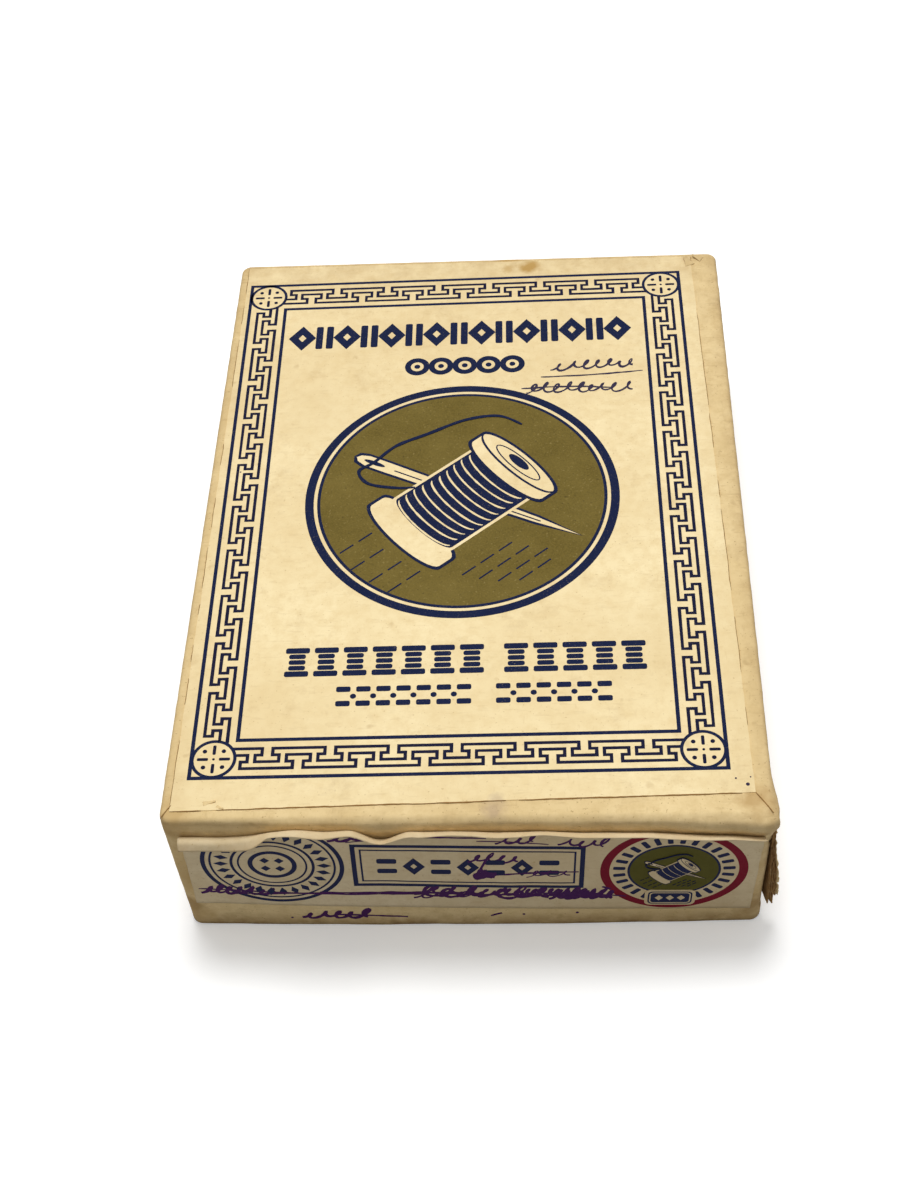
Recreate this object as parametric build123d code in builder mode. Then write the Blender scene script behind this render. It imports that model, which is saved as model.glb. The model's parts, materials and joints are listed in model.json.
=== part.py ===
from build123d import *
import os
from math import cos, radians, sin

os.makedirs("parts", exist_ok=True)

# A telescoping paperboard carton of sewing thread: a tray of wooden spools lying on
# their sides, end to end along Y, under a lid that slides down over the whole tray.
# Millimetres. The origin is the middle of the tray's underside, +Z is up, and the
# lid's labelled end wall faces -Y.

# Spools
columns = 3  # spools side by side, along X
rows = 4  # spools end to end, along Y
spool_diameter = 28.0
spool_length = 29.7
bore_diameter = 7.0
barrel_diameter = 12.0
rim_proud = 1.3  # of the winding
rim_width = 2.4  # straight edge of each flange
flange_slope = 4.4  # along the axis, from the rim down to the barrel
rim_chamfer = 0.5
bore_chamfer = 0.4
shoulder = 0.7  # the winding's rounded-off corners
slit_width = 0.5  # cut in one rim that holds the thread's tail
slit_depth = 2.2
spool_label_diameter = 19.0
spool_label_inset = 0.2  # of its hole from the bore's chamfer
spool_label_thickness = 0.1

# Room round the spools
gap_across = 0.8  # between flanges side by side, and to the side walls
gap_along = 0.9  # between spool ends, and to the end walls
gap_under = 0.25  # spools to the tray's floor
gap_over = 0.25  # spools to the top of the tray's walls

# Board and paper
tray_board_thickness = 0.9
lid_board_thickness = 1.0
wrap_thickness = 0.15
label_thickness = 0.12
stay_thickness = 0.2
stay_reach = 9.0  # of a corner stay along each wall
corner_gap = 0.3  # between the inner edges of two folded walls
lap_width = 13.0  # of the wraps over the lid's panel and under the tray's floor
turn_in = 9.0  # of the wraps round the walls' free edges
telescope_gap = 0.4  # lid to tray, each side
lid_seat_gap = 0.3  # tray's top edge to the lid's panel
lid_foot = 0.3  # lid's lower edge above the table
lid_corner_radius = 1.65
lid_edge_radius = 0.7
tray_corner_radius = 1.2
tray_edge_radius = 0.3

# Lid labels, placed by hand a little out of square
top_margin_left = 1.6
top_margin_right_front = 2.7
top_margin_right_back = 5.0
top_margin_front_left = 1.7
top_margin_front_right = 4.1
top_margin_back = 1.2
end_label_margin = 1.9  # at each side
end_label_low = 5.6  # middle of its lower edge above the table
end_label_margin_top = 2.6
end_label_tilt = 1.8  # degrees, lower at the right
curl_radius = 6.0  # of its top edge, which has come unstuck
curl_angle = 33.0

# Worked out
spool_radius = spool_diameter / 2
wound_radius = spool_radius - rim_proud
spool_label_hole_radius = bore_diameter / 2 + bore_chamfer + spool_label_inset
tray_inner_width = columns * spool_diameter + (columns + 1) * gap_across
tray_inner_length = rows * spool_length + (rows + 1) * gap_along
tray_board_width = tray_inner_width + 2 * tray_board_thickness
tray_board_length = tray_inner_length + 2 * tray_board_thickness
tray_corner_notch = 2 * (tray_board_thickness + corner_gap)
tray_floor = wrap_thickness + tray_board_thickness
axis_height = tray_floor + gap_under + spool_radius
tray_board_top = axis_height + spool_radius + gap_over
tray_top = tray_board_top + wrap_thickness

lid_liner_width = tray_board_width + 2 * (wrap_thickness + telescope_gap)
lid_liner_length = tray_board_length + 2 * (wrap_thickness + telescope_gap)
lid_inner_width = lid_liner_width + 2 * wrap_thickness
lid_inner_length = lid_liner_length + 2 * wrap_thickness
lid_board_width = lid_inner_width + 2 * lid_board_thickness
lid_board_length = lid_inner_length + 2 * lid_board_thickness
lid_corner_notch = 2 * (lid_board_thickness + corner_gap)
lid_width = lid_board_width + 2 * wrap_thickness
lid_length = lid_board_length + 2 * wrap_thickness
lid_board_low = lid_foot + wrap_thickness
lid_panel_under = tray_top + lid_seat_gap
lid_board_top = lid_panel_under + lid_board_thickness
lid_top = lid_board_top + wrap_thickness


def save(piece, name):
    """Label a finished piece and write it as a STEP file."""
    piece.label = name
    export_step(piece, f"parts/{name}.step")


def rounded_block(width, length, low, high, corner_radius, edge_radius, edge_on_top):
    """A block with rounded corners in plan and one rounded rim, at its top or bottom."""
    with BuildPart() as block:
        with BuildSketch(Plane.XY.offset(low)):
            RectangleRounded(width, length, corner_radius)
        extrude(amount=high - low)
        ends = block.faces().filter_by(Axis.Z).sort_by(Axis.Z)
        rim = ends[-1] if edge_on_top else ends[0]
        fillet(rim.edges(), edge_radius)
    return block.part


def corner_stays(width, length, low, high, corner_radius):
    """Four strips of gummed paper, one folded round each upright corner of a box."""
    with BuildPart() as stays:
        with BuildSketch(Plane.XY.offset(low)):
            RectangleRounded(width, length, corner_radius)
            RectangleRounded(
                width - 2 * stay_thickness,
                length - 2 * stay_thickness,
                corner_radius - stay_thickness,
                mode=Mode.SUBTRACT,
            )
            with GridLocations(width, length, 2, 2):
                Rectangle(2 * stay_reach, 2 * stay_reach, mode=Mode.INTERSECT)
        extrude(amount=high - low)
    return stays.part


# Tray: a folded board, its corners held by stays, covered by a paper wrap that laps
# under the floor and turns in over the walls' top edges

tray_envelope = rounded_block(
    tray_board_width,
    tray_board_length,
    wrap_thickness,
    tray_board_top,
    tray_corner_radius,
    tray_edge_radius,
    edge_on_top=False,
)
tray_stays = corner_stays(
    tray_board_width,
    tray_board_length,
    wrap_thickness + tray_edge_radius,
    tray_board_top,
    tray_corner_radius,
)

with BuildPart() as tray_board:
    add(tray_envelope)
    # the floor inside the wrap's lap reaches down to the table
    with BuildSketch(Plane.XY):
        Rectangle(tray_board_width - 2 * lap_width, tray_board_length - 2 * lap_width)
    extrude(amount=wrap_thickness)
    # the bay that holds the spools
    with BuildSketch(Plane.XY.offset(tray_floor)):
        Rectangle(tray_inner_width, tray_inner_length)
    extrude(amount=tray_board_top - tray_floor, mode=Mode.SUBTRACT)
    # each wall is folded up by itself, so the corners are open
    with BuildSketch(Plane.XY.offset(tray_floor)):
        with GridLocations(tray_board_width, tray_board_length, 2, 2):
            Rectangle(tray_corner_notch, tray_corner_notch)
    extrude(amount=tray_board_top - tray_floor, mode=Mode.SUBTRACT)
    add(tray_stays, mode=Mode.SUBTRACT)
save(tray_board.part, "tray_board")
save(tray_stays, "tray_corner_stays")

with BuildPart() as tray_wrap:
    add(
        rounded_block(
            tray_board_width + 2 * wrap_thickness,
            tray_board_length + 2 * wrap_thickness,
            0,
            tray_top,
            tray_corner_radius + wrap_thickness,
            tray_edge_radius + wrap_thickness,
            edge_on_top=False,
        )
    )
    add(tray_envelope, mode=Mode.SUBTRACT)
    # the window under the floor, inside the lap
    with BuildSketch(Plane.XY):
        Rectangle(tray_board_width - 2 * lap_width, tray_board_length - 2 * lap_width)
    extrude(amount=wrap_thickness, mode=Mode.SUBTRACT)
    # the turned-in edge: paper over the walls' tops and down their inner faces
    with BuildSketch(Plane.XY.offset(tray_top - turn_in)):
        Rectangle(tray_inner_width, tray_inner_length)
    extrude(amount=turn_in)
    with BuildSketch(Plane.XY.offset(tray_top - turn_in)):
        Rectangle(tray_inner_width - 2 * wrap_thickness, tray_inner_length - 2 * wrap_thickness)
    extrude(amount=turn_in, mode=Mode.SUBTRACT)
save(tray_wrap.part, "tray_wrap")


# Lid: the same construction upside down, with its lap on top under a printed label

lid_envelope = rounded_block(
    lid_board_width,
    lid_board_length,
    lid_board_low,
    lid_board_top,
    lid_corner_radius,
    lid_edge_radius,
    edge_on_top=True,
)
lid_stays = corner_stays(
    lid_board_width,
    lid_board_length,
    lid_board_low,
    lid_board_top - lid_edge_radius,
    lid_corner_radius,
)

with BuildPart() as lid_board:
    add(lid_envelope)
    # the panel inside the wrap's lap stands level with the paper
    with BuildSketch(Plane.XY.offset(lid_board_top)):
        Rectangle(lid_board_width - 2 * lap_width, lid_board_length - 2 * lap_width)
    extrude(amount=wrap_thickness)
    # the room for the tray
    with BuildSketch(Plane.XY.offset(lid_board_low)):
        Rectangle(lid_inner_width, lid_inner_length)
    extrude(amount=lid_panel_under - lid_board_low, mode=Mode.SUBTRACT)
    # each wall is folded down by itself, so the corners are open
    with BuildSketch(Plane.XY.offset(lid_board_low)):
        with GridLocations(lid_board_width, lid_board_length, 2, 2):
            Rectangle(lid_corner_notch, lid_corner_notch)
    extrude(amount=lid_panel_under - lid_board_low, mode=Mode.SUBTRACT)
    add(lid_stays, mode=Mode.SUBTRACT)
save(lid_board.part, "lid_board")
save(lid_stays, "lid_corner_stays")

with BuildPart() as lid_wrap:
    add(
        rounded_block(
            lid_width,
            lid_length,
            lid_foot,
            lid_top,
            lid_corner_radius + wrap_thickness,
            lid_edge_radius + wrap_thickness,
            edge_on_top=True,
        )
    )
    add(lid_envelope, mode=Mode.SUBTRACT)
    # the window on top, inside the lap
    with BuildSketch(Plane.XY.offset(lid_board_top)):
        Rectangle(lid_board_width - 2 * lap_width, lid_board_length - 2 * lap_width)
    extrude(amount=wrap_thickness, mode=Mode.SUBTRACT)
    # the turned-in edge: paper under the walls' lower edges and up their inner faces
    with BuildSketch(Plane.XY.offset(lid_foot)):
        Rectangle(lid_inner_width, lid_inner_length)
    extrude(amount=turn_in)
    with BuildSketch(Plane.XY.offset(lid_foot)):
        Rectangle(lid_liner_width, lid_liner_length)
    extrude(amount=turn_in, mode=Mode.SUBTRACT)
save(lid_wrap.part, "lid_wrap")

# The printed label on top, cut and pasted a little crooked
with BuildPart() as lid_top_label:
    with BuildSketch(Plane.XY.offset(lid_top)):
        with BuildLine():
            Polyline(
                (top_margin_left - lid_width / 2, top_margin_front_left - lid_length / 2),
                (lid_width / 2 - top_margin_right_front, top_margin_front_right - lid_length / 2),
                (lid_width / 2 - top_margin_right_back, lid_length / 2 - top_margin_back),
                (top_margin_left - lid_width / 2, lid_length / 2 - top_margin_back),
                close=True,
            )
        make_face()
    extrude(amount=label_thickness)
save(lid_top_label.part, "lid_top_label")

# The printed label on the end wall: flat below, its unstuck top edge curled outward.
# Its section is drawn with local X outward and local Y up the wall.
end_label_length = (lid_width - 2 * end_label_margin) * cos(radians(end_label_tilt))
end_label_height = lid_top - end_label_margin_top - end_label_low
end_label_flat = end_label_height - curl_radius * sin(radians(curl_angle))
end_label_plane = Plane(
    origin=(0, -lid_length / 2, end_label_low),
    x_dir=(0, -1, 0),
    z_dir=(-cos(radians(end_label_tilt)), 0, sin(radians(end_label_tilt))),
)
with BuildPart() as lid_end_label:
    with BuildSketch(end_label_plane):
        with BuildLine():
            back = Line((0, 0), (0, end_label_flat))
            back_curl = CenterArc((curl_radius, end_label_flat), curl_radius, 180, -curl_angle)
            front_curl = CenterArc(
                (curl_radius, end_label_flat), curl_radius - label_thickness, 180, -curl_angle
            )
            Line(back_curl @ 1, front_curl @ 1)
            front = Line((label_thickness, end_label_flat), (label_thickness, 0))
            Line(front @ 1, back @ 0)
        make_face()
    extrude(amount=end_label_length / 2, both=True)
save(lid_end_label.part, "lid_end_label")


# Spools, each lying along Y about its own centre


def spool_core(centre):
    """Turned wood: a bored barrel between two flanges, with a slit for the thread's tail."""
    half = spool_length / 2
    with BuildPart() as core:
        with BuildSketch(Plane(centre)):
            with BuildLine():
                Polyline(
                    (bore_diameter / 2, 0),
                    (bore_diameter / 2, half - bore_chamfer),
                    (bore_diameter / 2 + bore_chamfer, half),
                    (spool_radius - rim_chamfer, half),
                    (spool_radius, half - rim_chamfer),
                    (spool_radius, half - rim_width),
                    (barrel_diameter / 2, half - rim_width - flange_slope),
                    (barrel_diameter / 2, 0),
                )
                mirror(about=Plane.XZ)
            make_face()
        revolve(axis=Axis(centre, (0, 1, 0)))
        with Locations(centre + Vector(0, rim_width / 2 - half, spool_radius)):
            Box(slit_width, rim_width, 2 * slit_depth, mode=Mode.SUBTRACT)
    return core.part


def spool_thread(centre):
    """The winding: it fills the barrel from cone to cone, with rounded-off shoulders."""
    half = spool_length / 2
    cone_run = flange_slope / (spool_radius - barrel_diameter / 2)
    shoulder_radius = wound_radius - shoulder
    shoulder_end = half - rim_width - (spool_radius - shoulder_radius) * cone_run
    with BuildPart() as thread:
        with BuildSketch(Plane(centre)):
            with BuildLine():
                Polyline(
                    (barrel_diameter / 2, 0),
                    (barrel_diameter / 2, half - rim_width - flange_slope),
                    (shoulder_radius, shoulder_end),
                    (wound_radius, shoulder_end - shoulder),
                    (wound_radius, 0),
                )
                mirror(about=Plane.XZ)
            make_face()
        revolve(axis=Axis(centre, (0, 1, 0)))
    return thread.part


def spool_label(centre, side):
    """A paper disc pasted on one end: side is -1 for the front end, +1 for the back."""
    face = Plane(centre + Vector(0, side * spool_length / 2, 0), z_dir=(0, side, 0))
    with BuildPart() as disc:
        with BuildSketch(face):
            Circle(spool_label_diameter / 2)
            Circle(spool_label_hole_radius, mode=Mode.SUBTRACT)
        extrude(amount=spool_label_thickness)
    return disc.part


for row in range(rows):
    for column in range(columns):
        centre = Vector(
            (column - (columns - 1) / 2) * (spool_diameter + gap_across),
            (row - (rows - 1) / 2) * (spool_length + gap_along),
            axis_height,
        )
        spool = f"spool_{'abcdefgh'[row]}{column + 1}"
        save(spool_core(centre), f"{spool}_core")
        save(spool_thread(centre), f"{spool}_thread")
        save(spool_label(centre, -1), f"{spool}_front_label")
        save(spool_label(centre, 1), f"{spool}_back_label")
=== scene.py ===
import json
from math import ceil, cos, hypot, pi, radians, sin
from random import Random

import bpy
from mathutils import Matrix, Vector, noise

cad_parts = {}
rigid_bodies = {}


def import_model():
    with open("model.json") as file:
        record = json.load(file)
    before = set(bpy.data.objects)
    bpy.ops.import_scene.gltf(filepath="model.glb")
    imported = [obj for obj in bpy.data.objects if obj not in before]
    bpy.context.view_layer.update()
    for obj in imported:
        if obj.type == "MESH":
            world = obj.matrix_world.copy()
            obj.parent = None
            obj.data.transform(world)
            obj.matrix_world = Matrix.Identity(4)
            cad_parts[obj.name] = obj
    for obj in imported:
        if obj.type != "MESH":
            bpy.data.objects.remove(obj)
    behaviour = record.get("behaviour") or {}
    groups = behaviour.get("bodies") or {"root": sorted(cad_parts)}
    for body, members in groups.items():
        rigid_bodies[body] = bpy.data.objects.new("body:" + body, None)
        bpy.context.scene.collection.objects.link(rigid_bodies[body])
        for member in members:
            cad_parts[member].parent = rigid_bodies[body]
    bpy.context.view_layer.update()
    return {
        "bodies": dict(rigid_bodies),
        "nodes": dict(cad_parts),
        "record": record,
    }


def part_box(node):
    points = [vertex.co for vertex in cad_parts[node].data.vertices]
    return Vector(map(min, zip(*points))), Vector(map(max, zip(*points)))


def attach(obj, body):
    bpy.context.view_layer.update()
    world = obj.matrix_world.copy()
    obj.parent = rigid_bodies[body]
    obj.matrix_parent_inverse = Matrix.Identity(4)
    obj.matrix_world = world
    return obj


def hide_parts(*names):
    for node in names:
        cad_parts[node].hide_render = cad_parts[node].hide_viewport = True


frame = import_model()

# An old paperboard carton of sewing thread: wrapped lid with printed labels, wrapped
# tray, and wooden spools lying in it. Shapes are worked out in millimetres and written
# in metres. The lid's labelled end wall faces -Y.

MM = 0.001


def box_mm(node):
    """A CAD node's lowest and highest corners in millimetres."""
    low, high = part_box(node)
    return low / MM, high / MM


lid_low, lid_high = box_mm("lid_wrap")
LID_WIDTH = lid_high.x - lid_low.x
LID_LENGTH = lid_high.y - lid_low.y
LID_TOP = lid_high.z
LID_FRONT = lid_low.y
LID_RIGHT = lid_high.x
PAPER = 0.12  # thickness of the labels
WRAP = 0.15  # thickness of the cover paper


# ---------------------------------------------------------------- meshes


def make_mesh(name, points, faces, material, body=None, smooth=False):
    """A mesh object from points in millimetres, riding on a body if one is named."""
    mesh = bpy.data.meshes.new(name)
    mesh.from_pydata([Vector(p) * MM for p in points], [], faces)
    mesh.validate()
    mesh.materials.append(material)
    if smooth:
        mesh.shade_smooth()
    piece = bpy.data.objects.new(name, mesh)
    bpy.context.scene.collection.objects.link(piece)
    if body:
        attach(piece, body)
    return piece


def add_solidify(piece, thickness, offset=-1):
    """Give an open sheet its thickness."""
    solidify = piece.modifiers.new("thickness", "SOLIDIFY")
    solidify.thickness = thickness * MM
    solidify.offset = offset
    solidify.use_even_offset = True


def grid_faces(rows, columns, rows_closed=False, columns_closed=False, first=0):
    """Faces of a grid of points, which may close on itself either way."""
    faces = []
    for j in range(rows if rows_closed else rows - 1):
        a, b = first + j * columns, first + (j + 1) % rows * columns
        for i in range(columns if columns_closed else columns - 1):
            n = (i + 1) % columns
            faces.append((a + i, a + n, b + n, b + i))
    return faces


def facing_back(faces):
    """The same faces with their other side out."""
    return [(face[0], *face[:0:-1]) for face in faces]


def lid_sheet(name, place, across, up, material, thickness, offset=-1, smooth=False):
    """A sheet of paper on the lid: place(i, j) is where its grid's points are."""
    points = [place(i, j) for j in range(up + 1) for i in range(across + 1)]
    faces = grid_faces(up + 1, across + 1)
    piece = make_mesh(name, points, faces, material, "lid", smooth)
    add_solidify(piece, thickness, offset)
    return piece


def wave(x, y, z, size, seed=0.0):
    """Smooth noise from -1 to 1 that changes over about the given size."""
    return noise.noise(Vector((x / size + seed, y / size - seed, z / size + 0.37 * seed)))


def smoothstep(value, start, end):
    """0 before start, 1 after end and smooth between them; start may be past end."""
    t = min(max((value - start) / (end - start), 0.0), 1.0)
    return t * t * (3 - 2 * t)


def between(p, q, t):
    """The point a share t of the way from p to q."""
    return tuple(a * (1 - t) + b * t for a, b in zip(p, q))


class Print:
    """Flat printed or drawn shapes, laid on a sheet as a thin closed film.

    Each shape stands a hair above the one before, so that shapes may cross.
    """

    RISE = 0.002
    LEVELS = 5

    def __init__(self):
        self.points = []
        self.faces = []
        self.shapes = 0

    def next_level(self):
        self.shapes += 1
        return self.RISE * (self.shapes % self.LEVELS)

    def grid(self, rows, closed=False):
        """Quads between rows of points; closed joins the last row to the first."""
        level = self.next_level()
        count, across = len(rows), len(rows[0])
        first = len(self.points)
        for i, row in enumerate(rows):
            climb = 0.0 if closed else self.RISE * 0.9 * i / count
            self.points.extend((x, y, level + climb) for x, y in row)
        faces = facing_back(grid_faces(count, across, rows_closed=closed, first=first))
        area = sum(signed_area([self.points[k] for k in face]) for face in faces)
        self.faces += faces if area > 0 else [face[::-1] for face in faces]

    def polygon(self, outline):
        level = self.next_level()
        if signed_area(outline) < 0:
            outline = outline[::-1]
        first = len(self.points)
        self.points.extend((x, y, level) for x, y in outline)
        self.faces.append(tuple(range(first, first + len(outline))))

    def ring(self, centre, inner, outer, steps=96, bands=1):
        """A ring, cut into narrower bands where it must follow a curved sheet."""
        rows = []
        radii = [inner + (outer - inner) * k / bands for k in range(bands + 1)]
        for i in range(steps):
            a = 2 * pi * i / steps
            rows.append([(centre[0] + r * cos(a), centre[1] + r * sin(a)) for r in radii])
        self.grid(rows, closed=True)

    def disc(self, centre, radius, steps=48):
        self.polygon(ellipse(centre, radius, radius, steps=steps))

    def open_lozenge(self, centre, outer, heart):
        """A lozenge with an open heart, each (width, height)."""
        sides = zip(lozenge(centre, *outer), lozenge(centre, *heart))
        self.grid([list(side) for side in sides], closed=True)

    def bars(self, centre, width, height, radius, apart):
        """Two round-cornered bars, one under the other."""
        for side in (-1, 1):
            place = (centre[0], centre[1] + apart * side)
            self.polygon(rounded_bar(width, height, radius, place))

    def line(self, path, width, closed=False, uneven=0.0, seed=0.0, taper=0.0):
        """A stroke along a path, mitred at its corners, with uneven or tapered width."""
        rows = []
        count = len(path)
        for i, (x, y) in enumerate(path):
            before = path[i - 1] if closed or i else path[i]
            after = path[(i + 1) % count] if closed or i < count - 1 else path[i]
            first = unit(x - before[0], y - before[1])
            second = unit(after[0] - x, after[1] - y)
            first, second = first or second, second or first
            normal = (-first[1] - second[1], first[0] + second[0])
            size = max(1 + first[0] * second[0] + first[1] * second[1], 0.35)
            half = width / 2 * (1 + uneven * wave(x, y, 0, 1.3, seed))
            from_end = min(i, count - 1 - i) / (count - 1)
            half *= 1 - taper * (1 - min(from_end * 6, 1)) ** 2
            dx, dy = normal[0] / size * half, normal[1] / size * half
            rows.append([(x + dx, y + dy), (x - dx, y - dy)])
        self.grid(rows, closed)

    def lay(self, name, place, material, body, height=0.02, sink=0.01):
        """Make the film: place(x, y, h) puts a point h above the sheet."""
        count = len(self.points)
        solid = [place(x, y, height + level) for x, y, level in self.points]
        solid += [place(x, y, -sink) for x, y, _ in self.points]
        edges = set()
        for face in self.faces:
            edges.update(zip(face, face[1:] + face[:1]))
        faces = list(self.faces)
        faces += [tuple(i + count for i in reversed(face)) for face in self.faces]
        faces += [(b, a, a + count, b + count) for a, b in sorted(edges) if (b, a) not in edges]
        return make_mesh(name, solid, faces, material, body)


class Stack:
    """Printed shapes in several inks, each layer lying over the one before."""

    STEP = 0.012

    def __init__(self):
        self.layers = []

    def on(self, ink):
        """The layer on top, or a new one where the ink changes."""
        if not self.layers or self.layers[-1][0] is not ink:
            self.layers.append((ink, Print()))
        return self.layers[-1][1]

    def lay(self, name, place, body, slot, base):
        for index, (ink, shapes) in enumerate(self.layers):
            height = base + self.STEP * index
            shapes.lay(f"{name}_{index + 1}", place, ink, body, height)


def signed_area(points):
    """Area inside an outline, positive where it runs counterclockwise."""
    total = 0.0
    for p, q in zip(points, points[1:] + points[:1]):
        total += p[0] * q[1] - q[0] * p[1]
    return total / 2


def unit(dx, dy):
    size = hypot(dx, dy)
    return (dx / size, dy / size) if size > 1e-9 else None


def distance(p, q):
    return hypot(q[0] - p[0], q[1] - p[1])


def ellipse(centre, a, b, steps=24, start=0.0, sweep=2 * pi):
    """Points of an ellipse or, with its last point, of an arc of one."""
    count = steps if sweep >= 2 * pi else steps + 1
    turns = [start + sweep * i / steps for i in range(count)]
    return [(centre[0] + a * cos(t), centre[1] + b * sin(t)) for t in turns]


def lozenge(centre, width, height):
    x, y = centre
    return [(x - width / 2, y), (x, y - height / 2), (x + width / 2, y), (x, y + height / 2)]


def rectangle(centre, width, height):
    x, y = centre
    w, h = width / 2, height / 2
    return [(x - w, y - h), (x + w, y - h), (x + w, y + h), (x - w, y + h)]


def turned(points, angle, centre=(0, 0)):
    """Points turned about the origin and then moved to a centre."""
    c, s = cos(angle), sin(angle)
    return [(centre[0] + x * c - y * s, centre[1] + x * s + y * c) for x, y in points]


def rounded_bar(width, height, radius, centre=(0, 0)):
    """Outline of a bar with round corners."""
    points = []
    w, h = width / 2 - radius, height / 2 - radius
    for sx, sy, start in ((1, 1, 0), (-1, 1, 90), (-1, -1, 180), (1, -1, 270)):
        for k in range(5):
            a = radians(start + 22.5 * k)
            x, y = centre[0] + sx * w, centre[1] + sy * h
            points.append((x + radius * cos(a), y + radius * sin(a)))
    return points


def catmull_rom(a, b, c, d, t):
    """One coordinate a share t of the way from b to c."""
    slope, bend = 2 * a - 5 * b + 4 * c - d, 3 * b - a - 3 * c + d
    return 0.5 * (2 * b + (c - a) * t + slope * t * t + bend * t**3)


def smooth_curve(points, steps):
    """A smooth curve through points, with steps pieces between each two."""
    ends = [points[0], *points, points[-1]]
    result = []
    for near in zip(ends, ends[1:], ends[2:], ends[3:]):
        for i in range(steps):
            result.append(tuple(catmull_rom(*along, i / steps) for along in zip(*near)))
    return result + [tuple(points[-1])]


def stroke(start, end, bow, seed, steps=24):
    """A quick pen line with a slight bow and tremble."""
    path = []
    for i in range(steps + 1):
        t = i / steps
        x = start[0] + (end[0] - start[0]) * t
        y = start[1] + (end[1] - start[1]) * t + bow * sin(pi * t)
        path.append((x, y + 0.1 * wave(x, 0, 0, 2.5, seed)))
    return path


# ---------------------------------------------------------------- materials

EVEN = (1, 1, 1)


class Nodes:
    """The nodes of a material or of the world, and short ways to add them."""

    def __init__(self, tree):
        self.tree = tree

    def node(self, kind, links=(), values=(), **settings):
        made = self.tree.nodes.new(kind)
        for key, value in settings.items():
            setattr(made, key, value)
        for key, value in dict(values).items():
            made.inputs[key].default_value = value
        for key, source in dict(links).items():
            self.tree.links.new(source, made.inputs[key])
        return made

    def math(self, operation, a, b=None):
        links, values = {}, {}
        for index, value in enumerate((a, b)):
            if isinstance(value, (int, float)):
                values[index] = value
            elif value is not None:
                links[index] = value
        return self.node("ShaderNodeMath", links, values, operation=operation).outputs[0]

    def times(self, a, b):
        return self.math("MULTIPLY", a, b)

    def seen_directly(self):
        """1 for rays from the camera, and for mirrored and transmitted ones."""
        path = self.node("ShaderNodeLightPath").outputs
        seen = self.math("MAXIMUM", path["Is Camera Ray"], path["Is Glossy Ray"])
        return self.math("MAXIMUM", seen, path["Is Transmission Ray"])


class Surface(Nodes):
    """A principled material and the nodes that feed it."""

    def __init__(self, name, roughness, specular):
        self.material = bpy.data.materials.new(name)
        self.material.use_nodes = True
        super().__init__(self.material.node_tree)
        self.shader = self.tree.nodes["Principled BSDF"]
        self.shader.inputs["Roughness"].default_value = roughness
        self.shader.inputs["Specular IOR Level"].default_value = specular
        self.place = self.node("ShaderNodeTexCoord").outputs["Object"]

    def noise(self, size, detail=3.0, rough=0.55, stretch=EVEN, shift=0.0):
        """Noise whose features are about size millimetres across."""
        values = {"Scale": [1 / (size * MM * s) for s in stretch], "Location": (shift,) * 3}
        mapping = self.node("ShaderNodeMapping", {"Vector": self.place}, values)
        links = {"Vector": mapping.outputs[0]}
        values = {"Scale": 1.0, "Detail": detail, "Roughness": rough}
        return self.node("ShaderNodeTexNoise", links, values).outputs["Fac"]

    def span(self, source, low, high, to_low=0.0, to_high=1.0):
        """The range from low to high, stretched over 0 to 1 and held at its ends."""
        values = {"From Min": low, "From Max": high, "To Min": to_low, "To Max": to_high}
        return self.node("ShaderNodeMapRange", {"Value": source}, values).outputs[0]

    def mix(self, amount, a, b):
        made = self.node("ShaderNodeMix", data_type="RGBA")
        for index, value in ((0, amount), (6, a), (7, b)):
            if isinstance(value, (tuple, list)):
                made.inputs[index].default_value = (*value, 1.0)
            elif isinstance(value, (int, float)):
                made.inputs[index].default_value = value
            else:
                self.tree.links.new(value, made.inputs[index])
        return made.outputs[2]

    def tint(self, color, tone, strength, mask):
        """A colour with another over it where a mask is white."""
        return self.mix(self.times(mask, strength), color, tone)

    def tints(self, color, *layers):
        """Patchy tints over a colour: (tone, strength, low, high, noise settings)."""
        for tone, strength, low, high, *settings in layers:
            mask = self.span(self.noise(*settings), low, high)
            color = self.tint(color, tone, strength, mask)
        return color

    def axis(self, letter):
        """One coordinate of the shaded point, in millimetres."""
        parts = self.node("ShaderNodeSeparateXYZ", {"Vector": self.place})
        return self.math("DIVIDE", parts.outputs[letter], MM)

    def near(self, letter, at, width):
        """1 at a coordinate, falling to 0 width millimetres from it."""
        away = self.math("ABSOLUTE", self.math("SUBTRACT", self.axis(letter), at))
        return self.span(away, 0.0, width, 1.0, 0.0)

    def spot(self, x, y, radius, plane):
        """1 at a place, falling to 0 at a ragged edge about radius away."""
        dx = self.math("SUBTRACT", self.axis(plane[0]), x)
        dy = self.math("SUBTRACT", self.axis(plane[1]), y)
        away = self.math("SQRT", self.math("ADD", self.times(dx, dx), self.times(dy, dy)))
        ragged = self.times(self.math("SUBTRACT", self.noise(radius * 0.8), 0.5), radius * 1.2)
        return self.span(self.math("ADD", away, ragged), radius * 0.35, radius, 1.0, 0.0)

    def color(self, source):
        self.tree.links.new(source, self.shader.inputs["Base Color"])

    def roughness(self, source):
        self.tree.links.new(source, self.shader.inputs["Roughness"])

    def bump(self, *layers):
        """Layers of (height, depth in millimetres), added up."""
        normal = None
        for height, depth in layers:
            links = {"Height": height}
            if normal:
                links["Normal"] = normal
            values = {"Distance": depth * MM, "Strength": 1.0}
            normal = self.node("ShaderNodeBump", links, values).outputs[0]
        self.tree.links.new(normal, self.shader.inputs["Normal"])


def srgb(r, g, b):
    """A linear colour from 8-bit display values."""
    shares = (c / 255 for c in (r, g, b))
    return tuple(c / 12.92 if c <= 0.04 else ((c + 0.055) / 1.055) ** 2.4 for c in shares)


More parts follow.
